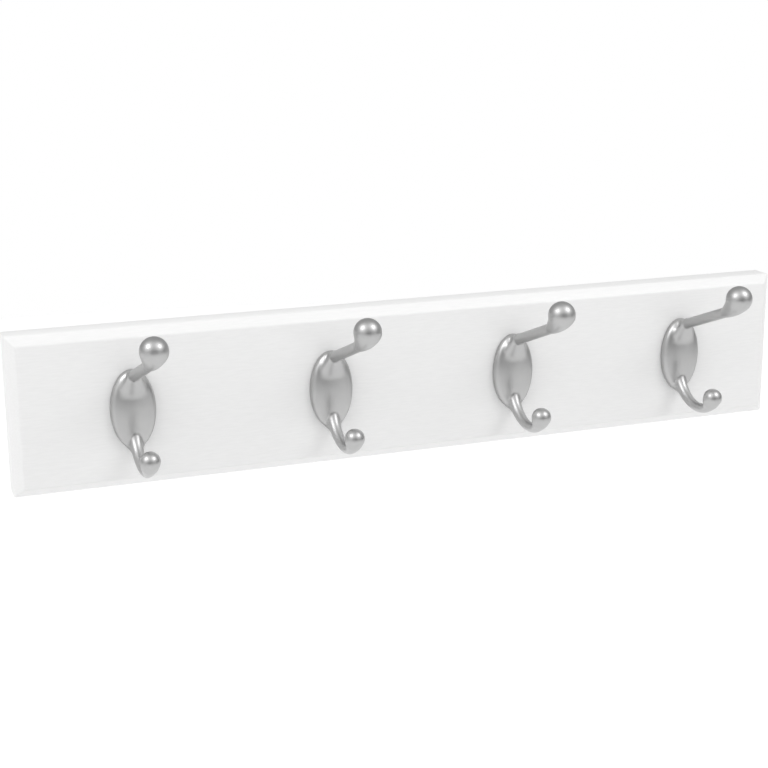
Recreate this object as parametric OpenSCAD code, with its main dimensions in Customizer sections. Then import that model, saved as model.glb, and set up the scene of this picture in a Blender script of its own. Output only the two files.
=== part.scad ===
// Wall rack with four coat-and-hat hooks.
// Frame: the origin is the centre of the board's back, +X runs along the board,
// -Y points away from the wall and +Z is up. Millimetres.

/* [Board] */
// Length of the board
board_length = 457.2; // [430:0.1:600]
// Height of the board
board_height = 86.5; // [80:0.5:120]
// Thickness of the board
board_thickness = 18; // [17:0.5:22]
// Width of the 45 degree chamfer round the front
board_chamfer = 5; // [1:0.5:8]

/* [Hook plate] */
// Distance from one hook to the next
hook_pitch = 110; // [70:1:120]
// Width of the oval plate
plate_width = 24.4; // [22:0.1:30]
// Height of the oval plate
plate_height = 43.2; // [40:0.1:50]
// Thickness of the plate at its rim
plate_rim = 4; // [3:0.1:5]
// How far the plate's middle stands out past its rim
plate_crown = 2.6; // [2:0.1:4]

/* [Upper arm] */
// Height at which the arm's axis leaves the board
arm_height = 16.8; // [14:0.1:18]
// Rise of the arm above level, in degrees
arm_rise = 20; // [10:1:30]
// Diameter of the arm
arm_diameter = 6; // [5:0.1:8]
// Reach of the upper ball's centre from the board
upper_ball_reach = 61.2; // [55:0.1:75]
// Diameter of the upper ball
upper_ball_diameter = 14.7; // [12:0.1:16]

/* [Lower hook] */
// Height at which the lower hook's centre line leaves the plate
lower_height = -15.6; // [-17:0.1:-14]
// Dip of the centre line where it leaves the plate, in degrees
lower_dip = 55; // [45:1:60]
// Radius of the long bend under the plate
stem_bend = 27; // [24:0.5:30]
// Radius of the tight bend at the tip
tip_bend = 12; // [10:0.5:14]
// Diameter of the lower ball
lower_ball_diameter = 10.8; // [10:0.1:12]

/* [Keyhole hangers] */
// Distance between the two hangers, one stud spacing
hanger_spacing = 406.4; // [396:0.1:410]
// Height of the hangers' middle above the board's middle
hanger_lift = 8; // [0:0.5:12]
// Diameter of the hole that a wall screw's head goes through
keyhole_diameter = 9.5; // [8:0.1:10]
// Width of the slot that the wall screw slides up
keyhole_slot = 4.8; // [4:0.1:5]

/* [Hidden] */
HOOKS = ["hook_1", "hook_2", "hook_3", "hook_4"];

$fn = 64;
overcut = 1;      // how far a cutter runs past the face it opens
foot_facets = 32; // of the wide end of a blend
end_facets = 24;  // of its narrow end

// Hook plate
plate_steps = 44; // points round the oval
crown_steps = 6;  // rings from the rim to the crown

// Upper arm, as points [out, up] from the plate's centre on the board
buried = 0.3; // how far a blend's small end lies under the tube that it grows from
swell = 11;   // from where the arm starts to swell, out to the ball's centre
arm_r = arm_diameter / 2;
arm_end = arm_along(upper_ball_reach - swell);
upper_ball_r = upper_ball_diameter / 2;
ball_above_axis = 5.3; // the ball sits up on the arm like a thumb
upper_ball = arm_along(upper_ball_reach) + [0, ball_above_axis];
neck_r = 6.3;          // the round under the ball that the arm runs into
neck_back = 4;         // from the ball's centre back to the centre of that round
neck_slope = 52;
neck = upper_ball - neck_back * heading(neck_slope);
flare_r = 8.5;         // foot of the cone that the arm grows out of
flare_foot = [4.5, 12.7];
flare_reach = 9;       // how far out the cone has come down to the arm
flare_end = arm_along(flare_reach);

// Lower hook: two bends of one centre line, each with a radius of tube at its ends
lower_start = [3, lower_height];
stem_turn = 65;
tip_turn = 57;
stem_r = 4.3;
waist_r = 2.3;
tip_r = 4.4;
lower_ball_r = lower_ball_diameter / 2;
ball_past_tip = 2;
root_r = 8;          // foot of the cone that the stem grows out of
root_foot = [4.2, -13];
root_end = lower_start + stem_r * heading(-lower_dip);
sweep_sides = 20;
stem_steps = 12;
tip_steps = 8;
stem_stations = bend(lower_start, -lower_dip, stem_bend, stem_turn, stem_r, waist_r, stem_steps);
stem_end = stem_stations[len(stem_stations) - 1];
tip_stations = bend([stem_end[0], stem_end[1]], stem_end[2], tip_bend, tip_turn, waist_r, tip_r, tip_steps);
tip_end = tip_stations[len(tip_stations) - 1];
lower_ball = [tip_end[0], tip_end[1]] + ball_past_tip * heading(tip_end[2]);

// Machine screws that hold a hook, M4 x 18 with a pan head
hook_screw_z = 11;      // one this far above the plate's centre and one as far below
hook_screw_r = 2;
hook_screw_length = 18;
screw_engagement = 4.5; // how far a screw reaches into the hook
hook_head_r = 4;
hook_head_height = 3.1;
hook_head_side = 1.7;
crown_facets = 128;     // of the large circle that the head's low crown is cut from
counterbore_r = 4.6;
counterbore_depth = board_thickness + screw_engagement - hook_screw_length;
clearance_hole_r = 2.25;
thread_play = 0.05;
tapped_depth = 5;
phillips_width = 1;
phillips_span = 4.4;
phillips_depth = 1.6;

// Keyhole hangers and their countersunk wood screws
hanger_width = 16;
hanger_length = 50;
hanger_thickness = 2;
hanger_play = 0.1;      // gap round a hanger in its recess
keyhole_low = -8;       // centre of the round hole, from the hanger's middle
keyhole_high = 8;       // centre of the slot's round end
keyhole_run = keyhole_high - keyhole_low;
head_room = 1.6;         // on each side of the wall screw's head
pocket_width = keyhole_diameter + 2 * head_room;
pocket_depth = 8;       // from the back of the board
hanger_screw_z = 20;
hanger_screw_r = 1.6;
hanger_head_r = 3.2;
hanger_head_depth = 1.8;
hanger_screw_length = 13;
hanger_point = 4;
screw_tip_r = 0.3;
hanger_cross_depth = 1.1;
hanger_cross_scale = 0.75; // of a hook screw's cross

// ---------- geometry helpers ----------

function heading(angle) = [cos(angle), sin(angle)];

// Point of the upper arm's axis that is out from the board
function arm_along(out) = [out, arm_height + out * tan(arm_rise)];

// Stations [out, up, heading, tube radius] along an arc that starts at from with the heading angle
function bend(from, angle, radius, turn, r0, r1, steps) = [
    for (i = [0 : steps])
        let (
            share = i / steps,
            a = angle + turn * share,
            centre = from + radius * [-sin(angle), cos(angle)],
            at = centre + radius * [sin(a), -cos(a)]
        )
        [at[0], at[1], a, r0 + (r1 - r0) * share]
];

// A tube through stations [out, up, heading, tube radius], closed at both ends
module sweep(stations) {
    rings = len(stations);
    points = [
        for (s = stations, i = [0 : sweep_sides - 1])
            let (
                turn = 360 * i / sweep_sides,
                side = s[3] * sin(turn),
                lift = s[3] * cos(turn)
            )
            [side, -(s[0] - lift * sin(s[2])), s[1] + lift * cos(s[2])]
    ];
    skin = [
        for (k = [0 : rings - 2], i = [0 : sweep_sides - 1])
            let (
                j = (i + 1) % sweep_sides,
                a = k * sweep_sides,
                b = a + sweep_sides
            )
            each [[a + i, a + j, b + j], [a + i, b + j, b + i]]
    ];
    first = [for (i = [sweep_sides - 1 : -1 : 0]) i];
    last = [for (i = [0 : sweep_sides - 1]) (rings - 1) * sweep_sides + i];
    polyhedron(points, concat([first], skin, [last]));
}

// Places its children at [out, up] on a hook
module on_hook(at) translate([0, -at[0], at[1]]) children();

// Places its children on the back of the board, turned so that their +Z runs into the board
module into_back(x, z) translate([x, 0, z]) rotate([90, 0, 0]) children();

// A slot with round ends, lying in XY and centred, its length along Y
module stadium(width, length) {
    for (end = [-1, 1])
        translate([0, end * (length - width) / 2]) circle(d = width);
    square([width, length - width], center = true);
}

function hook_x(i) = (i - (len(HOOKS) - 1) / 2) * hook_pitch;

// ---------- backboard ----------

// Outline of a chamfered slab: thickness along Y, span along X
module slab_outline(span) {
    half = span / 2;
    front = -board_thickness;
    polygon([
        [-half, 0],
        [-half, front + board_chamfer],
        [-half + board_chamfer, front],
        [half - board_chamfer, front],
        [half, front + board_chamfer],
        [half, 0]
    ]);
}

module board_blank() {
    intersection() {
        linear_extrude(board_height, center = true) slab_outline(board_length);
        rotate([0, 90, 0]) linear_extrude(board_length, center = true) slab_outline(board_height);
    }
}

module hook_screw_holes() {
    for (i = [0 : len(HOOKS) - 1], z = [-hook_screw_z, hook_screw_z])
        into_back(hook_x(i), z) {
            translate([0, 0, -overcut]) cylinder(r = counterbore_r, h = counterbore_depth + overcut);
            cylinder(r = clearance_hole_r, h = board_thickness + overcut);
        }
}

module hanger_recess() {
    translate([0, 0, -overcut]) linear_extrude(hanger_thickness + overcut)
        stadium(hanger_width, hanger_length);
    linear_extrude(pocket_depth) stadium(pocket_width, keyhole_run + pocket_width);
    for (z = [-hanger_screw_z, hanger_screw_z])
        translate([0, z, 0]) wood_screw_body(thread_play);
}

module backboard() {
    color("white") difference() {
        board_blank();
        hook_screw_holes();
        for (side = [-1, 1])
            into_back(side * hanger_spacing / 2, hanger_lift) hanger_recess();
    }
}

// ---------- hooks ----------

// Oval plate: a straight rim, then a crown that closes over it like part of an ellipsoid
module plate() {
    rings = concat(
        [[1, 0]],
        [for (k = [0 : crown_steps - 1])
            let (a = 90 * k / crown_steps)
            [cos(a), plate_rim + plate_crown * sin(a)]]
    );
    count = len(rings);
    points = concat(
        [for (ring = rings, i = [0 : plate_steps - 1])
            let (a = 360 * i / plate_steps)
            [ring[0] * plate_width / 2 * sin(a), -ring[1], ring[0] * plate_height / 2 * cos(a)]],
        [[0, -(plate_rim + plate_crown), 0]]
    );
    skin = [
        for (k = [0 : count - 2], i = [0 : plate_steps - 1])
            let (
                j = (i + 1) % plate_steps,
                a = k * plate_steps,
                b = a + plate_steps
            )
            each [[a + i, a + j, b + j], [a + i, b + j, b + i]]
    ];
    back = [for (i = [plate_steps - 1 : -1 : 0]) i];
    top = count * plate_steps;
    crown = [for (i = [0 : plate_steps - 1])
        [top - plate_steps + i, top - plate_steps + (i + 1) % plate_steps, top]];
    polyhedron(points, concat([back], skin, crown));
}

module upper_arm() {
    // the arm itself, from inside the plate to inside the neck
    on_hook([0, arm_height]) rotate([90 - arm_rise, 0, 0])
        cylinder(r = arm_r, h = norm(arm_end - [0, arm_height]) + arm_r);
    // the cone that it grows out of
    hull() {
        on_hook(flare_foot) rotate([90, 0, 0]) cylinder(r = flare_r, h = buried, $fn = foot_facets);
        on_hook(flare_end) sphere(arm_r - buried, $fn = end_facets);
    }
    // the neck that swells into the ball
    hull() {
        on_hook(arm_end) sphere(arm_r - buried, $fn = end_facets);
        on_hook(neck) sphere(neck_r, $fn = foot_facets);
    }
    on_hook(upper_ball) sphere(upper_ball_r);
}

module lower_hook() {
    hull() {
        on_hook(root_foot) rotate([90, 0, 0]) cylinder(r = root_r, h = buried, $fn = foot_facets);
        on_hook(root_end) sphere(stem_r - buried, $fn = end_facets);
    }
    sweep(concat(stem_stations, [for (i = [1 : len(tip_stations) - 1]) tip_stations[i]]));
    on_hook(lower_ball) sphere(lower_ball_r);
}

// One casting, with its back on the board's front and two tapped holes
module hook(i) {
    behind = 2 * upper_ball_reach;
    color("silver") translate([hook_x(i), -board_thickness, 0]) difference() {
        union() {
            plate();
            upper_arm();
            lower_hook();
        }
        translate([-behind / 2, 0, -behind / 2]) cube(behind);
        for (z = [-hook_screw_z, hook_screw_z])
            translate([0, overcut, z]) rotate([90, 0, 0])
                cylinder(r = hook_screw_r + thread_play, h = tapped_depth + overcut);
    }
}

// ---------- fasteners and hangers ----------

// Pan-head machine screw in its counterbore: the head's face looks at the wall
module hook_screw(i, z) {
    color("gainsboro") into_back(hook_x(i), z) difference() {
        union() {
            translate([0, 0, counterbore_depth]) cylinder(r = hook_screw_r, h = hook_screw_length);
            translate([0, 0, counterbore_depth - hook_head_height]) rotate_extrude() pan_head_outline();
        }
        translate([0, 0, counterbore_depth - hook_head_height - overcut])
            linear_extrude(phillips_depth + overcut) cross_slot();
    }
}

// Half section of a pan head: flat under the head, a straight side and a low crown
module pan_head_outline() {
    crown = hook_head_height - hook_head_side;
    crown_r = (hook_head_r * hook_head_r + crown * crown) / (2 * crown);
    intersection() {
        square([hook_head_r, hook_head_height]);
        translate([0, crown_r]) circle(crown_r, $fn = crown_facets);
    }
}

module cross_slot() {
    square([phillips_width, phillips_span], center = true);
    square([phillips_span, phillips_width], center = true);
}

// Steel plate with a keyhole: the wall screw's head enters below and slides up the slot
module keyhole_hanger(side) {
    color("lightgray") into_back(side * hanger_spacing / 2, hanger_lift) difference() {
        linear_extrude(hanger_thickness)
            stadium(hanger_width - 2 * hanger_play, hanger_length - 2 * hanger_play);
        translate([0, (keyhole_low + keyhole_high) / 2, -overcut])
            linear_extrude(hanger_thickness + 2 * overcut)
                stadium(keyhole_slot, keyhole_run + keyhole_slot);
        translate([0, keyhole_low, -overcut])
            cylinder(d = keyhole_diameter, h = hanger_thickness + 2 * overcut);
        for (z = [-hanger_screw_z, hanger_screw_z])
            translate([0, z, 0]) wood_screw_body(thread_play);
    }
}

// Countersunk wood screw, grown by play where it is used as a cutter
module wood_screw_body(play) {
    shank = hanger_screw_length - hanger_point;
    thread_r = hanger_screw_r + play;
    translate([0, 0, -play])
        cylinder(r1 = hanger_head_r + play, r2 = thread_r, h = hanger_head_depth + play);
    cylinder(r = thread_r, h = shank);
    translate([0, 0, shank]) cylinder(r1 = thread_r, r2 = screw_tip_r, h = hanger_point + play);
}

module hanger_screw(side, end) {
    color("gainsboro") into_back(side * hanger_spacing / 2, hanger_lift)
        translate([0, end * hanger_screw_z, 0]) difference() {
            wood_screw_body(0);
            translate([0, 0, -overcut])
                linear_extrude(hanger_cross_depth + overcut) scale(hanger_cross_scale) cross_slot();
        }
}

// ---------- nodes ----------

backboard();
for (i = [0 : len(HOOKS) - 1]) {
    hook(i);
    hook_screw(i, hook_screw_z);
    hook_screw(i, -hook_screw_z);
}
keyhole_hanger(-1);  // keyhole_hanger_left
keyhole_hanger(1);  // keyhole_hanger_right
hanger_screw(-1, 1);  // hanger_left_upper_screw
hanger_screw(-1, -1);  // hanger_left_lower_screw
hanger_screw(1, 1);  // hanger_right_upper_screw
hanger_screw(1, -1);  // hanger_right_lower_screw
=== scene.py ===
import math

import bmesh
import bpy
import numpy as np
from mathutils import Matrix, Vector


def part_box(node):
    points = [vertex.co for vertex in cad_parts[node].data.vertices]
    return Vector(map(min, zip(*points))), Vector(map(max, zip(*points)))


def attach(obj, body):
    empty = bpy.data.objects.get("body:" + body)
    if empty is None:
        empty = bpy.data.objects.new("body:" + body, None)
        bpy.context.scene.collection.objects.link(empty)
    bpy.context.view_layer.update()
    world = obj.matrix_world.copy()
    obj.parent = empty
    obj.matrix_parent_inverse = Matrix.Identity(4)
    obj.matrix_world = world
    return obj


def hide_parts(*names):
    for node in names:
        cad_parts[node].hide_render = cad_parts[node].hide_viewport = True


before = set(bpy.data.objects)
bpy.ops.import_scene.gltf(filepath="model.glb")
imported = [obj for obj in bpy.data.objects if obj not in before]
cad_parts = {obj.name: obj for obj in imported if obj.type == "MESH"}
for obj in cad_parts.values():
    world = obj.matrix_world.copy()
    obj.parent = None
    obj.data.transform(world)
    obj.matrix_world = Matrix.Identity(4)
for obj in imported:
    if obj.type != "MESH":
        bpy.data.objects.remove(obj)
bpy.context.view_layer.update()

MM = 0.001
HOOKS = ["hook_1", "hook_2", "hook_3", "hook_4"]
HOOK_SCREWS = [f"{hook}_{end}_screw" for hook in HOOKS for end in ("upper", "lower")]
HANGERS = ["keyhole_hanger_left", "keyhole_hanger_right"]
HANGER_SCREWS = [f"hanger_{side}_{end}_screw" for side in ("left", "right") for end in ("upper", "lower")]

board_low, board_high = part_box("backboard")
BOARD_FRONT = board_low.y
BOARD_LENGTH = board_high.x - board_low.x

# ---------------------------------------------------------------- hook sizes, in millimetres
# A hook's own directions are side (along the board), out (from the board's front) and up.
# Points in its middle plane are [out, up].

PLATE_HALF_WIDTH = 12.2
PLATE_HALF_HEIGHT = 21.6
PLATE_RIM = 3.8
PLATE_CROWN = 2.9
PLATE_RIM_ROUND = 2.6
BACK_EDGE_ROUND = 0.5

ARM_HEIGHT = 16.8
ARM_SLOPE = math.tan(math.radians(20))
ARM_R = 3.0
ARM_END = 48.6
ARM_BLEND = 1.2
UPPER_BALL_R = 7.35
UPPER_BALL = np.array([61.18, 44.36])
THUMB_BEND = np.array([58.0, 39.3])
THUMB_POWER = 0.9
THUMB_POINTS = 18
FLARE_R = 7.3
FLARE_FOOT = np.array([4.5, 9.6])
FLARE_OUT = 9.0
FLARE_END_ROUND = 0.8
# The flare's blend into the plate grows from the first to the sum of both between two heights.
FLARE_BLEND = 0.9
FLARE_TOP_BLEND = 2.2
FLARE_TOP = (11.0, 17.0)

STEM_START = np.array([1.4, -11.5])
STEM_DIP = math.radians(-69.3)
STEM_BEND = 24.4
STEM_TURN = math.radians(82.5)
STEM_R = 3.8
STEM_POINTS = 20
# The stem's first points lie deep in the plate, and its sweep leaves them out.
STEM_BURIED = 2
# The stem's blend grows in the same way, between two distances below the hook's middle.
STEM_BLEND = 0.7
SHOULDER_BLEND = 4.5
SHOULDER = (15.5, 21.5)
WAIST_R = 2.75
TIP_BEND = 12.8
TIP_TURN = math.radians(47.5)
TIP_R = 4.8
TIP_POWER = 2.2
TIP_POINTS = 14
LOWER_BALL_R = 5.4
BALL_PAST_TIP = 2.7

TAPPED_R = 2.05
TAPPED_DEPTH = 5.0
TAPPED_UP = 11.0
FLAT_BACK_ROUND = 0.05

# The box that the casting is meshed in (side, out, up), and the size of its cells.
SIDE_ROOM = 1.2
CAST_LOW = (-PLATE_HALF_WIDTH - SIDE_ROOM, -0.9, -32.1)
CAST_HIGH = (PLATE_HALF_WIDTH + SIDE_ROOM, 70.5, 53.7)
VOXEL = 0.5
# The least squared slope that settle divides by, so that no point jumps where a field is flat.
SLOPE_FLOOR = 0.25


def heading(angle):
    """Unit [out, up] at an angle above straight out."""
    return np.array([math.cos(angle), math.sin(angle)])


def arm_point(out):
    """The point on the arm's middle line at a distance from the board."""
    return np.array([out, ARM_HEIGHT + out * ARM_SLOPE])


# ---------------------------------------------------------------- distance fields, in millimetres
# Negative inside, and nothing on the surface. p is (side, out, up), three arrays of one shape.

def smooth_union(a, b, k):
    """Where a or b is inside, with the corner between them filled over k."""
    mix = np.clip(0.5 + 0.5 * (b - a) / k, 0, 1)
    return b + (a - b) * mix - k * mix * (1 - mix)


def smooth_cut(a, b, k):
    """Where both a and b are inside, with an edge rounded over k."""
    return -smooth_union(-a, -b, k)


def round_cone(p, start, start_r, end, end_r):
    """The hull of two spheres."""
    side, out, up = p
    axis = end - start
    length = np.hypot(*axis)
    axis = axis / length
    along = (out - start[0]) * axis[0] + (up - start[1]) * axis[1]
    across = np.sqrt(side**2 + ((out - start[0]) * axis[1] - (up - start[1]) * axis[0]) ** 2)
    slope = (end_r - start_r) / length
    nearest = np.clip(along + across * slope / math.sqrt(1 - slope**2), 0, length)
    return np.hypot(across, along - nearest) - (start_r + slope * nearest)


def slanted_cone(p, foot, foot_r, end, end_r):
    """A cone whose sections are parallel to the board; behind its foot it is a cylinder."""
    side, out, up = p
    depth = end[0] - foot[0]
    rise = (end[1] - foot[1]) / depth
    taper = (end_r - foot_r) / depth
    share = np.maximum(out - foot[0], 0)
    above = up - (foot[1] + rise * share)
    radius = np.maximum(foot_r + taper * share, 0)
    reach = np.hypot(side, above)
    lean = np.where(out > foot[0], rise * above / np.maximum(reach, 1e-6) + taper, 0)
    return (reach - radius) / np.sqrt(1 + lean**2)


def swept_ball(p, centres, radii):
    """The space that a ball sweeps as it moves along centres and changes its radius."""
    steps = zip(centres, radii, centres[1:], radii[1:])
    return np.minimum.reduce([round_cone(p, *step) for step in steps])


def arc(start, angle, bend, turn, steps):
    """Points along an arc that leaves start at an angle, and the angle at its end."""
    centre = start + bend * np.array([-math.sin(angle), math.cos(angle)])
    angles = angle + turn * np.linspace(0, 1, steps)
    points = [centre + bend * np.array([math.sin(a), -math.cos(a)]) for a in angles]
    return points, angle + turn


def plate_shape(p):
    """The oval plate: a straight wall, a crown that is lower at its rim, and rounded edges."""
    side, out, up = p
    x, z = side / PLATE_HALF_WIDTH, up / PLATE_HALF_HEIGHT
    share = np.hypot(x, z)
    slope = np.hypot(x / PLATE_HALF_WIDTH, z / PLATE_HALF_HEIGHT)
    wall = (share - 1) * share / np.maximum(slope, 1e-6)
    tilt = 2 * PLATE_CROWN * slope
    crown = (out - (PLATE_RIM + PLATE_CROWN * (1 - share**2))) / np.sqrt(1 + tilt**2)
    plate = smooth_cut(wall, crown, PLATE_RIM_ROUND)
    return smooth_cut(plate, -out, BACK_EDGE_ROUND)


def upper_arm_shape(p):
    """A straight round arm that swells and turns up into a ball, like a thumb."""
    arm_end = arm_point(ARM_END)
    share = np.linspace(0, 1, THUMB_POINTS)[:, None]
    thumb = (1 - share) ** 2 * arm_end + 2 * share * (1 - share) * THUMB_BEND + share**2 * UPPER_BALL
    radii = ARM_R + (UPPER_BALL_R - ARM_R) * share[:, 0] ** THUMB_POWER
    return swept_ball(p, [arm_point(0), *thumb], [ARM_R, *radii])


def lower_hook_shape(p):
    """A J that thins from its root to a waist and swells again to a ball."""
    stem, angle = arc(STEM_START, STEM_DIP, STEM_BEND, STEM_TURN, STEM_POINTS)
    tip, angle = arc(stem[-1], angle, TIP_BEND, TIP_TURN, TIP_POINTS)
    ball = tip[-1] + BALL_PAST_TIP * heading(angle)
    stem_share = np.linspace(1, 0, len(stem))
    tip_share = np.linspace(0, 1, len(tip))
    stem_radii = WAIST_R + (STEM_R - WAIST_R) * stem_share**2
    tip_radii = WAIST_R + (TIP_R - WAIST_R) * tip_share**TIP_POWER
    centres = stem[STEM_BURIED:] + tip[1:] + [ball]
    radii = [*stem_radii[STEM_BURIED:], *tip_radii[1:], LOWER_BALL_R]
    return swept_ball(p, centres, radii)


def smoothstep(value, low, high):
    """From nothing at low to one at high, level at both ends."""
    share = np.clip((value - low) / (high - low), 0, 1)
    return share * share * (3 - 2 * share)


def hook_shape(p):
    """The whole casting, with its flat back at out = 0 and two tapped holes in it."""
    side, out, up = p
    flare = slanted_cone(p, FLARE_FOOT, FLARE_R, arm_point(FLARE_OUT), ARM_R)
    flare = smooth_cut(flare, out - FLARE_OUT, FLARE_END_ROUND)
    top = smoothstep(up, *FLARE_TOP)
    body = smooth_union(plate_shape(p), flare, FLARE_BLEND + FLARE_TOP_BLEND * top)
    body = smooth_union(body, upper_arm_shape(p), ARM_BLEND)
    shoulder = smoothstep(-up, *SHOULDER)
    body = smooth_union(body, lower_hook_shape(p), STEM_BLEND + SHOULDER_BLEND * shoulder)
    body = smooth_cut(body, -out, FLAT_BACK_ROUND)
    for height in (-TAPPED_UP, TAPPED_UP):
        hole = np.maximum(np.hypot(side, up - height) - TAPPED_R, out - TAPPED_DEPTH)
        body = np.maximum(body, -hole)
    return body


# ---------------------------------------------------------------- from a distance field to a mesh

def surface_mesh(shape, low, high, step):
    """Vertices, near the zero level of shape, and quads that join them, inside a box."""
    counts = [int(math.ceil((b - a) / step)) + 1 for a, b in zip(low, high)]
    axes = [a + step * np.arange(n) for a, n in zip(low, counts)]
    grid = np.stack(np.meshgrid(*axes, indexing="ij"))
    values = shape(grid)
    inside = values < 0
    total = np.zeros([n - 1 for n in counts])
    where = np.zeros([3] + [n - 1 for n in counts])
    crossings = []
    for axis in range(3):
        lower = [slice(None)] * 3
        upper = [slice(None)] * 3
        lower[axis], upper[axis] = slice(None, -1), slice(1, None)
        a, b = values[tuple(lower)], values[tuple(upper)]
        crossed = inside[tuple(lower)] != inside[tuple(upper)]
        share = np.where(crossed, a / np.where(crossed, a - b, 1), 0)
        point = grid[(slice(None),) + tuple(lower)].copy()
        point[axis] += share * step
        others = [other for other in range(3) if other != axis]
        for shift in ((0, 0), (0, 1), (1, 0), (1, 1)):
            window = [slice(None)] * 3
            for other, offset in zip(others, shift):
                window[other] = slice(1 - offset, counts[other] - offset)
            target = [slice(None)] * 3
            for other in others:
                target[other] = slice(0, counts[other] - 1)
            hit = crossed[tuple(window)]
            total[tuple(target)] += hit
            where[(slice(None),) + tuple(target)] += point[(slice(None),) + tuple(window)] * hit
        crossings.append(crossed)
    used = total > 0
    index = np.cumsum(used).reshape(used.shape) - 1
    points = (where[:, used] / total[used]).T
    quads = []
    for axis, crossed in enumerate(crossings):
        i, j, k = np.nonzero(crossed)
        at = np.stack([i, j, k])
        first, second = [(axis + 1) % 3, (axis + 2) % 3]
        keep = (at[first] > 0) & (at[second] > 0)
        keep &= (at[first] < counts[first] - 1) & (at[second] < counts[second] - 1)
        at = at[:, keep]
        corners = []
        for d1, d2 in ((1, 1), (0, 1), (0, 0), (1, 0)):
            corner = at.copy()
            corner[first] -= d1
            corner[second] -= d2
            corners.append(index[tuple(corner)])
        quad = np.stack(corners, axis=1)
        flip = ~inside[tuple(at)]
        quad[flip] = quad[flip][:, ::-1]
        quads.append(quad)
    return points, np.concatenate(quads)


def slope_at(shape, points, step=0.02):
    """The distance field's value and gradient at points."""
    gradient = np.empty_like(points)
    for axis in range(3):
        shift = np.zeros(3)
        shift[axis] = step
        ahead, behind = shape((points + shift).T), shape((points - shift).T)
        gradient[:, axis] = (ahead - behind) / (2 * step)
    return shape(points.T), gradient


def settle(shape, points, rounds=3):
    """Moves points onto the zero level of shape, or very near it."""
    for _ in range(rounds):
        value, gradient = slope_at(shape, points)
        size = np.maximum((gradient**2).sum(axis=1), SLOPE_FLOOR)
        points = points - (value / size)[:, None] * gradient
    return points


def mesh_object(name, points, faces):
    mesh = bpy.data.meshes.new(name)
    mesh.from_pydata([tuple(point) for point in points], [], [tuple(face) for face in faces])
    mesh.validate()
    mesh.update()
    piece = bpy.data.objects.new(name, mesh)
    bpy.context.scene.collection.objects.link(piece)
    return piece


def make_hooks():
    """The casting, meshed once, and a copy of it in each hook's place."""
    points, quads = surface_mesh(hook_shape, CAST_LOW, CAST_HIGH, VOXEL)
    points = settle(hook_shape, points)
    points[:, 1] = np.maximum(points[:, 1], 0)
    made = []
    for name in HOOKS:
        node_low, node_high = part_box(name)
        middle = (node_low.x + node_high.x) / 2
        placed = np.stack([
            middle + points[:, 0] * MM,
            BOARD_FRONT - points[:, 1] * MM,
            points[:, 2] * MM,
        ], axis=1)
        piece = mesh_object(name + "_casting", placed, quads)
        for polygon in piece.data.polygons:
            polygon.use_smooth = True
        made.append(piece)
        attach(piece, "root")
        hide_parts(name)
    return made


# ---------------------------------------------------------------- board

CHAMFER = 5.0
EDGE_EASE = 0.8
EDGE_SEGMENTS = 5
COUNTERBORE_R = 4.6
COUNTERBORE_DEPTH = 4.5
CLEARANCE_R = 2.25
RECESS_PLAY = 0.1
POCKET_WIDTH = 12.7
POCKET_DEPTH = 8.0
KEYHOLE_RUN = 16.0
PILOT_R = 1.65
PILOT_DEPTH = 13.5
OVERCUT = 1.0


def circle(radius, steps=48):
    turns = 2 * np.pi * np.arange(steps) / steps
    return [(radius * math.sin(turn), radius * math.cos(turn)) for turn in turns]


def stadium(width, length, steps=24):
    """A slot with round ends, its length along Z."""
    turns = np.pi * np.arange(steps + 1) / steps
    reach = (length - width) / 2
    top = [(width / 2 * math.cos(turn), reach + width / 2 * math.sin(turn)) for turn in turns]
    return top + [(-x, -z) for x, z in top]


def add_cut(mesh, x, z, rings):
    """Adds a closed cutter to mesh: outlines of one count, each at its depth, in millimetres."""
    loops = []
    for depth, outline in rings:
        loops.append([mesh.verts.new((x + a * MM, -depth * MM, z + b * MM)) for a, b in outline])
    for near, far in zip(loops, loops[1:]):
        for i in range(len(near)):
            j = (i + 1) % len(near)
            mesh.faces.new([near[i], near[j], far[j], far[i]])
    mesh.faces.new(loops[0])
    mesh.faces.new(loops[-1])


def as_object(name, mesh, *materials):
    """Makes an object of a bmesh, with its faces turned outward."""
    bmesh.ops.recalc_face_normals(mesh, faces=mesh.faces[:])
    data = bpy.data.meshes.new(name)
    mesh.to_mesh(data)
    mesh.free()
    for material in materials:
        data.materials.append(material)
    piece = bpy.data.objects.new(name, data)
    bpy.context.scene.collection.objects.link(piece)
    return piece


def cut_away(piece, cutter):
    """Takes cutter out of piece; the cut faces keep the cutter's material index."""
    cut = piece.modifiers.new("cut", "BOOLEAN")
    cut.operation = "DIFFERENCE"
    cut.solver = "EXACT"
    cut.object = cutter
    result = bpy.data.meshes.new_from_object(piece.evaluated_get(bpy.context.evaluated_depsgraph_get()))
    piece.modifiers.clear()
    piece.data = result
    bpy.data.objects.remove(cutter)


def shade(piece, sharp, flat_area):
    """Smooth on faces under flat_area, in square metres, and across edges under sharp, in degrees."""
    for polygon in piece.data.polygons:
        polygon.use_smooth = polygon.area < flat_area
    piece.data.set_sharp_from_angle(angle=math.radians(sharp))


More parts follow.
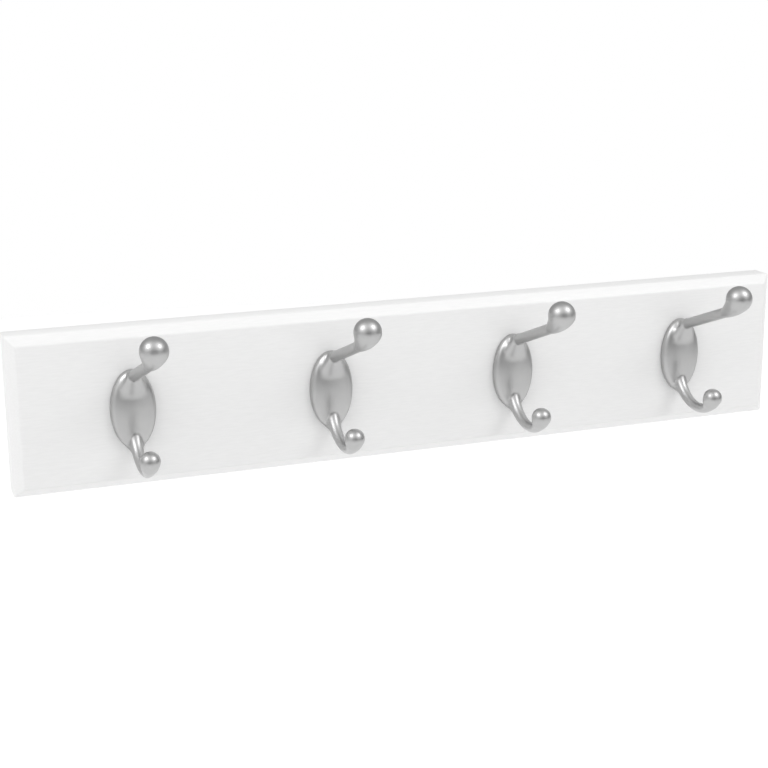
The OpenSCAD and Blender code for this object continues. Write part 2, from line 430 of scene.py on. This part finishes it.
def board_blank():
    """The board before its cuts: a chamfer round its front, and every edge eased."""
    low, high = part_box("backboard")
    blank = bmesh.new()
    loops = []
    for y, inset in ((high.y, 0), (low.y + CHAMFER * MM, 0), (low.y, CHAMFER * MM)):
        x0, x1 = low.x + inset, high.x - inset
        z0, z1 = low.z + inset, high.z - inset
        loops.append([blank.verts.new((x, y, z)) for x, z in ((x0, z0), (x1, z0), (x1, z1), (x0, z1))])
    for back, front in zip(loops, loops[1:]):
        for i in range(4):
            j = (i + 1) % 4
            blank.faces.new([back[i], back[j], front[j], front[i]])
    blank.faces.new(loops[0])
    blank.faces.new(loops[-1])
    bmesh.ops.recalc_face_normals(blank, faces=blank.faces[:])
    bmesh.ops.bevel(
        blank, geom=blank.edges[:], offset=EDGE_EASE * MM,
        segments=EDGE_SEGMENTS, profile=0.5, affect="EDGES",
    )
    return blank


def middle_of(name):
    """The x and z of a node's middle."""
    low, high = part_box(name)
    return (low.x + high.x) / 2, (low.z + high.z) / 2


def make_board(paint, raw):
    """The painted board, with bare wood in the holes and recesses of its back."""
    board = as_object("painted_board", board_blank(), paint, raw)
    wide, deep = bmesh.new(), bmesh.new()
    through = (board_high.y - board_low.y) / MM + OVERCUT
    for name in HOOK_SCREWS:
        x, z = middle_of(name)
        bore, hole = circle(COUNTERBORE_R), circle(CLEARANCE_R)
        rings = [(-OVERCUT, bore), (COUNTERBORE_DEPTH, bore), (COUNTERBORE_DEPTH, hole), (through, hole)]
        add_cut(wide, x, z, rings)
    for name in HANGERS:
        x, z = middle_of(name)
        low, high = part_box(name)
        width = (high.x - low.x) / MM + 2 * RECESS_PLAY
        length = (high.z - low.z) / MM + 2 * RECESS_PLAY
        depth = (high.y - low.y) / MM + RECESS_PLAY
        recess = stadium(width, length)
        pocket = stadium(POCKET_WIDTH, KEYHOLE_RUN + POCKET_WIDTH)
        add_cut(wide, x, z, [(-OVERCUT, recess), (depth, recess)])
        add_cut(deep, x, z, [(-OVERCUT, pocket), (POCKET_DEPTH, pocket)])
    for name in HANGER_SCREWS:
        x, z = middle_of(name)
        pilot = circle(PILOT_R, 24)
        add_cut(deep, x, z, [(-OVERCUT, pilot), (PILOT_DEPTH, pilot)])
    for cuts in (wide, deep):
        for face in cuts.faces:
            face.material_index = 1
        cut_away(board, as_object("cutter", cuts, paint, raw))
    shade(board, sharp=28, flat_area=4e-5)
    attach(board, "root")
    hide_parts("backboard")
    return board


# ---------------------------------------------------------------- screws

# Sizes in millimetres; a cross is its span, its arms' width and its depth.
THREAD_STEPS = 6
THREAD_DEPTH = 0.4
SCREW_SIDES = 32
SCREW_POINT_SHARE = 0.15
SCREW_TURN = 37
HOOK_HEAD_HEIGHT = 3.1
HOOK_SHANK_R = 2.0
HOOK_PITCH = 0.7
HOOK_POINT = 0.6
HOOK_CROSS = (4.4, 1.0, 1.6)
HANGER_HEAD_HEIGHT = 1.8
HANGER_SHANK_R = 1.6
HANGER_PITCH = 1.3
HANGER_POINT = 4.0
HANGER_CROSS = (3.3, 0.75, 1.1)
HANGER_EASE = 0.2
HEAD_CROWN_SHARE = 0.18
HEAD_SHOULDER_SHARE = 0.36
HEAD_EASE = 0.15
RIM_HEIGHT = 0.2
RIM_EASE = 0.1


def pan_head(head_r, height, shank_r):
    """Stations (depth, radius) of a pan head: a low crown, a round shoulder and a flat underside."""
    crown, shoulder = HEAD_CROWN_SHARE * height, HEAD_SHOULDER_SHARE * height
    stations = [(crown * share**2, (head_r - shoulder) * share) for share in np.linspace(0.12, 1, 8)]
    for turn in np.linspace(15, 90, 6):
        lean = math.radians(turn)
        stations.append((crown + shoulder * (1 - math.cos(lean)), head_r - shoulder * (1 - math.sin(lean))))
    return stations + [(height - HEAD_EASE, head_r), (height, head_r - HEAD_EASE), (height, shank_r)]


def flat_head(head_r, height, shank_r):
    """Stations of a countersunk head with a narrow rim."""
    flat = [(0, head_r * share) for share in (0.2, 0.5, 0.8)]
    rim = [(0, head_r - RIM_EASE), (RIM_EASE, head_r), (RIM_HEIGHT, head_r)]
    return flat + rim + [(height, shank_r)]


def threaded_screw(head, head_height, length, shank_r, pitch, point):
    """A turned solid about Y: its head's stations, then a thread that winds down to a point."""
    runs = int((length - head_height) / pitch * THREAD_STEPS)
    depths = np.linspace(head_height, length, runs)[1:]
    shank = [(depth, shank_r * min(1, (length - depth) / point + SCREW_POINT_SHARE)) for depth in depths]
    depth, radius = np.array(head + shank).T
    turns = np.arange(SCREW_SIDES) / SCREW_SIDES
    ridge = np.abs(2 * ((depth[:, None] / pitch - turns) % 1) - 1)
    cut_in = np.clip((depth - head_height) / pitch, 0, 1)[:, None] * THREAD_DEPTH * ridge
    radius = np.maximum(radius[:, None] - cut_in * radius[:, None] / shank_r, 0.1)
    screw = bmesh.new()
    rings = []
    for down, ring in zip(depth, radius):
        rings.append([
            screw.verts.new((r * math.sin(a) * MM, -down * MM, r * math.cos(a) * MM))
            for r, a in zip(ring, 2 * np.pi * turns)
        ])
    for near, far in zip(rings, rings[1:]):
        for i in range(SCREW_SIDES):
            j = (i + 1) % SCREW_SIDES
            screw.faces.new([near[i], near[j], far[j], far[i]])
    screw.faces.new(rings[0])
    screw.faces.new(rings[-1])
    return screw


def cross_cutter(span, width, depth):
    """A cross recess that narrows toward its floor."""
    cutter = bmesh.new()
    a, b = span / 2, width / 2
    quarter = [(b, a), (b, b), (a, b), (a, -b), (b, -b), (b, -a)]
    outline = quarter + [(-x, -z) for x, z in quarter]
    floor = [(x * (0.4 if abs(x) > b else 0.7), z * (0.4 if abs(z) > b else 0.7)) for x, z in outline]
    add_cut(cutter, 0, 0, [(-0.4, outline), (0.1, outline), (depth, floor)])
    return cutter


def make_screws(names, build, cross, material):
    """One screw, cut with its cross, then a copy in each place with its head turned its own way."""
    pattern = as_object("pattern", build(), material)
    cut_away(pattern, as_object("cutter", cross_cutter(*cross), material))
    shade(pattern, sharp=35, flat_area=1)
    for i, name in enumerate(names):
        x, z = middle_of(name)
        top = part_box(name)[1].y
        data = pattern.data.copy()
        turn = Matrix.Rotation(math.radians(SCREW_TURN * i), 4, "Y")
        data.transform(Matrix.Translation((x, top, z)) @ turn)
        screw = bpy.data.objects.new(name + "_turned", data)
        bpy.context.scene.collection.objects.link(screw)
        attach(screw, "root")
        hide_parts(name)
    bpy.data.objects.remove(pattern)


def hook_screw():
    low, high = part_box(HOOK_SCREWS[0])
    head = pan_head((high.x - low.x) / 2 / MM, HOOK_HEAD_HEIGHT, HOOK_SHANK_R)
    length = (high.y - low.y) / MM
    return threaded_screw(head, HOOK_HEAD_HEIGHT, length, HOOK_SHANK_R, HOOK_PITCH, HOOK_POINT)


def hanger_screw():
    low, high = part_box(HANGER_SCREWS[0])
    head = flat_head((high.x - low.x) / 2 / MM, HANGER_HEAD_HEIGHT, HANGER_SHANK_R)
    length = (high.y - low.y) / MM
    return threaded_screw(head, HANGER_HEAD_HEIGHT, length, HANGER_SHANK_R, HANGER_PITCH, HANGER_POINT)


def ease_edges(node, width):
    """Rounds the sharp edges of a CAD node."""
    ease = node.modifiers.new("eased", "BEVEL")
    ease.width = width * MM
    ease.segments = 2
    ease.limit_method = "ANGLE"
    ease.angle_limit = math.radians(40)
    ease.use_clamp_overlap = False


# ---------------------------------------------------------------- materials

class Nodes:
    """Short calls that build a material's node tree."""

    def __init__(self, name):
        self.material = bpy.data.materials.new(name)
        self.material.use_nodes = True
        self.tree = self.material.node_tree
        self.shader = self.tree.nodes["Principled BSDF"]
        self.place = self.add("ShaderNodeTexCoord").outputs["Object"]

    def add(self, kind, **settings):
        node = self.tree.nodes.new(kind)
        for key, value in settings.items():
            setattr(node, key, value)
        return node

    def join(self, source, target):
        self.tree.links.new(source, target)

    def noise(self, scale, detail=4.0, rough=0.5, stretch=(1, 1, 1)):
        mapping = self.add("ShaderNodeMapping")
        mapping.inputs["Scale"].default_value = stretch
        self.join(self.place, mapping.inputs["Vector"])
        noise = self.add("ShaderNodeTexNoise")
        noise.inputs["Scale"].default_value = scale
        noise.inputs["Detail"].default_value = detail
        noise.inputs["Roughness"].default_value = rough
        self.join(mapping.outputs["Vector"], noise.inputs["Vector"])
        return noise.outputs["Fac"]

    def remap(self, source, low, high, to_low, to_high):
        node = self.add("ShaderNodeMapRange")
        for key, value in (("From Min", low), ("From Max", high), ("To Min", to_low), ("To Max", to_high)):
            node.inputs[key].default_value = value
        self.join(source, node.inputs["Value"])
        return node.outputs["Result"]

    def math(self, operation, a, b):
        node = self.add("ShaderNodeMath", operation=operation)
        for socket, value in zip(node.inputs, (a, b)):
            if isinstance(value, (int, float)):
                socket.default_value = value
            else:
                self.join(value, socket)
        return node.outputs[0]

    def tint(self, factor, low, high):
        """From one colour to another; either may be a colour or a socket."""
        node = self.add("ShaderNodeMix", data_type="RGBA")
        self.join(factor, node.inputs[0])
        for socket, colour in ((node.inputs[6], low), (node.inputs[7], high)):
            if isinstance(colour, tuple):
                socket.default_value = (*colour, 1)
            else:
                self.join(colour, socket)
        return node.outputs[2]

    def bump(self, height, distance, strength=1.0, below=None):
        node = self.add("ShaderNodeBump")
        node.inputs["Distance"].default_value = distance
        node.inputs["Strength"].default_value = strength
        self.join(height, node.inputs["Height"])
        if below is not None:
            self.join(below, node.inputs["Normal"])
        return node.outputs["Normal"]

    def edge(self, width):
        """One on an edge, falling to nothing at a width from it."""
        rounded = self.add("ShaderNodeBevel", samples=4)
        rounded.inputs["Radius"].default_value = width
        flat = self.add("ShaderNodeNewGeometry")
        bend = self.add("ShaderNodeVectorMath", operation="DOT_PRODUCT")
        self.join(rounded.outputs["Normal"], bend.inputs[0])
        self.join(flat.outputs["Normal"], bend.inputs[1])
        return self.remap(bend.outputs["Value"], 0.98, 0.85, 0, 1)

    def set(self, **sockets):
        for name, value in sockets.items():
            socket = self.shader.inputs[name.replace("_", " ")]
            if isinstance(value, (int, float, tuple)):
                socket.default_value = value
            else:
                self.join(value, socket)


def satin_nickel():
    """Satin plating on a casting: a slow mottle, a fine grain and short upright strokes."""
    n = Nodes("satin_nickel")
    cloud = n.noise(90, detail=3)
    grain = n.noise(2000, detail=3)
    brushed = n.noise(900, detail=4, stretch=(1, 1, 0.15))
    n.set(
        Base_Color=n.tint(n.remap(cloud, 0.35, 0.65, 0, 1), (0.450, 0.450, 0.450), (0.474, 0.474, 0.472)),
        Metallic=1.0,
        Roughness=n.remap(n.math("ADD", cloud, brushed), 0.7, 1.3, 0.30, 0.38),
        Normal=n.bump(brushed, 0.000015, 0.4, below=n.bump(grain, 0.00002, 0.4)),
    )
    return n.material


def white_paint():
    """Satin paint that shows a little of the wood's fibre and is rubbed thin along the edges."""
    n = Nodes("white_paint")
    fibre = n.noise(1100, detail=5, rough=0.6, stretch=(0.12, 1, 1))
    cloud = n.noise(60, detail=3, stretch=(0.3, 1, 1))
    stipple = n.noise(2200, detail=2)
    rubbed = n.math("MULTIPLY", n.edge(0.0012), n.remap(cloud, 0.45, 0.7, 0, 1))
    colour = n.tint(n.remap(fibre, 0.35, 0.65, 0, 1), (0.785, 0.785, 0.783), (0.809, 0.809, 0.807))
    n.set(
        Base_Color=n.tint(n.math("MULTIPLY", rubbed, 0.5), colour, (0.73, 0.72, 0.70)),
        Roughness=n.remap(n.math("ADD", cloud, rubbed), 0.3, 1.0, 0.38, 0.5),
        Normal=n.bump(fibre, 0.00004, 0.25, below=n.bump(stipple, 0.00002, 0.3)),
    )
    return n.material


def raw_board():
    """Bare softwood in the cuts, its grain running along the board."""
    n = Nodes("raw_board")
    grain = n.noise(420, detail=6, rough=0.65, stretch=(0.06, 1, 1))
    rings = n.noise(60, detail=2, stretch=(0.1, 1, 1))
    tone = n.math("ADD", n.math("MULTIPLY", grain, 0.7), n.math("MULTIPLY", rings, 0.5))
    n.set(
        Base_Color=n.tint(n.remap(tone, 0.4, 0.8, 0, 1), (0.47, 0.31, 0.17), (0.71, 0.54, 0.34)),
        Roughness=n.remap(grain, 0.3, 0.7, 0.65, 0.85),
        Normal=n.bump(grain, 0.0002, 0.5),
    )
    return n.material


def zinc_steel(name, dull):
    """Bright zinc plating: a faint spangle, fine scratches, and a rub along the edges."""
    n = Nodes(name)
    spangle = n.noise(420, detail=2)
    scratch = n.noise(1500, detail=5, rough=0.7, stretch=(1, 1, 0.08))
    worn = n.edge(0.0004)
    plating = n.tint(n.remap(spangle, 0.35, 0.65, 0, 1), (0.47, 0.485, 0.50), (0.60, 0.61, 0.60))
    n.set(
        Base_Color=n.tint(n.math("MULTIPLY", worn, 0.6), plating, (0.74, 0.73, 0.71)),
        Metallic=1.0,
        Roughness=n.remap(n.math("ADD", spangle, scratch), 0.7, 1.3, dull - 0.06, dull + 0.08),
        Normal=n.bump(scratch, 0.00002, 0.4, below=n.bump(spangle, 0.00003, 0.3)),
    )
    return n.material


def floor_white():
    """Matt near-white with a little glow of its own, so that the floor renders white."""
    n = Nodes("floor_white")
    n.set(
        Base_Color=n.tint(n.noise(3), (0.96, 0.96, 0.96), (0.97, 0.97, 0.97)),
        Roughness=0.9,
        Emission_Color=(1, 1, 1, 1),
        Emission_Strength=FLOOR_GLOW,
    )
    return n.material


def give(piece, *materials):
    """Puts materials in place of those that a piece has."""
    piece.data.materials.clear()
    for material in materials:
        piece.data.materials.append(material)


# ---------------------------------------------------------------- stage, light and camera

FLOOR_LIGHT = 1.1
SKY_LIGHT = 0.52
FLOOR_FADE = (-0.2, -0.04)
FLOOR_DROP = 0.45
FLOOR_R = 2.4
FLOOR_SIDES = 96
FLOOR_GLOW = 0.11
# Soft glows in the world: azimuth from the front, elevation and spread in degrees, brightness.
# The first two lie round the softboxes; the others dim three patches near the horizon.
GLOWS = [
    (-72, 42.5, 22, 1.34),
    (44, 46, 20, 1.38),
    (2, 1, 14, -0.32),
    (-25, 2, 12, -0.24),
    (70, -3, 13, -0.36),
]
# Softboxes: azimuth, elevation, and light as brightness times solid angle.
SOFTBOXES = [(-73, 41.5, 0.42), (45, 44, 0.40)]
SOFTBOX_SPREAD = math.radians(26)
SOFTBOX_DISTANCE = 1.6

CAMERA_AZIMUTH = -20.51
CAMERA_ELEVATION = 14.6
CAMERA_ROLL = -0.42
CAMERA_LENS = 72
CAMERA_SENSOR = 36
# In board lengths: how far the camera is from the point it is aimed at, and that point's x and z.
CAMERA_DISTANCE = 1.876
CAMERA_AIM_X = -0.0514
CAMERA_AIM_Z = -0.0013


def direction(azimuth, elevation):
    """Unit vector toward an azimuth, from the rack's front round to its right, and an elevation."""
    a, e = math.radians(azimuth), math.radians(elevation)
    return Vector((math.sin(a) * math.cos(e), -math.cos(a) * math.cos(e), math.sin(e)))


def set_world():
    """White to the camera; to the object, a bright floor, a dim horizon and a soft light at each side."""
    world = bpy.data.worlds.new("studio")
    bpy.context.scene.world = world
    world.use_nodes = True
    tree = world.node_tree
    tree.nodes.clear()
    join = tree.links.new

    def number(operation, a, b=0.0, c=0.0):
        node = tree.nodes.new("ShaderNodeMath")
        node.operation = operation
        for socket, value in zip(node.inputs, (a, b, c)):
            if isinstance(value, (int, float)):
                socket.default_value = value
            else:
                join(value, socket)
        return node.outputs[0]

    place = tree.nodes.new("ShaderNodeTexCoord").outputs["Generated"]
    split = tree.nodes.new("ShaderNodeSeparateXYZ")
    join(place, split.inputs[0])
    horizon = tree.nodes.new("ShaderNodeMapRange")
    horizon.interpolation_type = "SMOOTHSTEP"
    ends = (*FLOOR_FADE, FLOOR_LIGHT, SKY_LIGHT)
    for key, value in zip(("From Min", "From Max", "To Min", "To Max"), ends):
        horizon.inputs[key].default_value = value
    join(split.outputs["Z"], horizon.inputs["Value"])
    light = horizon.outputs["Result"]
    for azimuth, elevation, spread, brightness in GLOWS:
        toward = tree.nodes.new("ShaderNodeVectorMath")
        toward.operation = "DOT_PRODUCT"
        toward.inputs[1].default_value = direction(azimuth, elevation)
        join(place, toward.inputs[0])
        sharpness = math.radians(spread) ** -2
        falloff = number("MULTIPLY_ADD", toward.outputs["Value"], sharpness, -sharpness)
        light = number("MULTIPLY_ADD", number("EXPONENT", falloff), brightness, light)
    lit = tree.nodes.new("ShaderNodeBackground")
    join(light, lit.inputs["Color"])
    seen = tree.nodes.new("ShaderNodeBackground")
    seen.inputs["Color"].default_value = (1, 1, 1, 1)
    path = tree.nodes.new("ShaderNodeLightPath")
    mix = tree.nodes.new("ShaderNodeMixShader")
    join(path.outputs["Is Camera Ray"], mix.inputs[0])
    join(lit.outputs[0], mix.inputs[1])
    join(seen.outputs[0], mix.inputs[2])
    out = tree.nodes.new("ShaderNodeOutputWorld")
    join(mix.outputs[0], out.inputs["Surface"])


def make_softbox(azimuth, elevation, light):
    """A round softbox that faces the rack."""
    toward = direction(azimuth, elevation)
    data = bpy.data.lights.new("softbox", "AREA")
    data.shape = "DISK"
    data.size = 2 * SOFTBOX_DISTANCE * math.tan(SOFTBOX_SPREAD / 2)
    data.energy = light * math.pi * SOFTBOX_DISTANCE**2
    lamp = bpy.data.objects.new("softbox", data)
    lamp.location = toward * SOFTBOX_DISTANCE
    lamp.rotation_euler = toward.to_track_quat("Z", "Y").to_euler()
    lamp.visible_camera = False
    bpy.context.scene.collection.objects.link(lamp)


def make_floor():
    """A white disc below the rack, which isn't part of it."""
    disc = bmesh.new()
    bmesh.ops.create_circle(disc, cap_ends=True, segments=FLOOR_SIDES, radius=FLOOR_R)
    floor = as_object("floor", disc, floor_white())
    floor.location.z = -FLOOR_DROP


def make_camera():
    """Aimed at the board's front a little left of its middle, from the left and above."""
    back = direction(CAMERA_AZIMUTH, CAMERA_ELEVATION)
    target = Vector((CAMERA_AIM_X * BOARD_LENGTH, BOARD_FRONT, CAMERA_AIM_Z * BOARD_LENGTH))
    camera = bpy.data.objects.new("camera", bpy.data.cameras.new("camera"))
    camera.data.lens = CAMERA_LENS
    camera.data.sensor_width = CAMERA_SENSOR
    camera.location = target + back * CAMERA_DISTANCE * BOARD_LENGTH
    turn = (-back).to_track_quat("-Z", "Y").to_matrix()
    camera.rotation_euler = (turn @ Matrix.Rotation(math.radians(CAMERA_ROLL), 3, "Z")).to_euler()
    bpy.context.scene.collection.objects.link(camera)
    bpy.context.scene.camera = camera


nickel = satin_nickel()
for hook in make_hooks():
    give(hook, nickel)
paint = white_paint()
make_board(paint, raw_board())
screw_steel = zinc_steel("screw_steel", 0.30)
make_screws(HOOK_SCREWS, hook_screw, HOOK_CROSS, screw_steel)
make_screws(HANGER_SCREWS, hanger_screw, HANGER_CROSS, screw_steel)
hanger_steel = zinc_steel("hanger_steel", 0.36)
for name in HANGERS:
    give(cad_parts[name], hanger_steel)
    ease_edges(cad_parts[name], HANGER_EASE)

make_floor()
for softbox in SOFTBOXES:
    make_softbox(*softbox)
set_world()
make_camera()
bpy.context.scene.view_settings.view_transform = "Standard"
